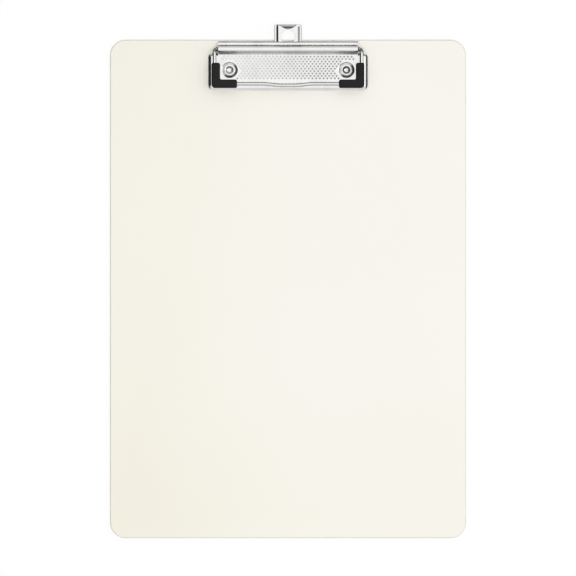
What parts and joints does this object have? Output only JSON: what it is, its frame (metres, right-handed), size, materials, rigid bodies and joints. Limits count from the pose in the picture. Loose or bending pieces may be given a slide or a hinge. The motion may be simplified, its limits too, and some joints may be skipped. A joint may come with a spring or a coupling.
{
  "type": "clipboard",
  "caption": "Flat plastic clipboard with a low-profile wire clip: riveted knurled plate, sprung wire bail with soft corner sleeves, and a slide-out hanger.",
  "frame": {"origin": "centre of the board's flat back face", "axes": "+Y towards the edge with the clip, +Z out of the board's front, +X to the right seen from the front"},
  "size_m": [0.225, 0.3246, 0.0091],
  "materials": {
    "board_plastic": "smooth matte moulded cream plastic",
    "plated_steel": "bright nickel plating over stamped steel, knurled between the rivets",
    "rivet_steel": "bright nickel plating",
    "spring_wire": "bright nickel-plated drawn wire",
    "sleeve_pvc": "soft black satin PVC",
    "hanger_steel": "bright nickel plating over stamped steel"
  },
  "bodies": {
    "base": {"board": "board_plastic", "clip_plate": "plated_steel", "rivet_left": "rivet_steel", "rivet_right": "rivet_steel", "wire_end_left": "spring_wire", "wire_end_right": "spring_wire"},
    "bail": {"wire_bail": "spring_wire", "corner_sleeve_left": "sleeve_pvc", "corner_sleeve_right": "sleeve_pvc"},
    "hanger": {"hanger": "hanger_steel"}
  },
  "joints": [
    {"name": "bail_hinge", "type": "hinge", "parent": "base", "child": "bail", "pos_m": [0, 0.1515, 0.0044], "axis": [-1, 0, 0], "range_deg": [0, 70], "stiffness_Nm_per_rad": 0.6, "springref_deg": -34.38},
    {"name": "hanger_slide", "type": "slide", "parent": "base", "child": "hanger", "axis": [0, 1, 0], "range_m": [-0.008, 0.005]}
  ]
}
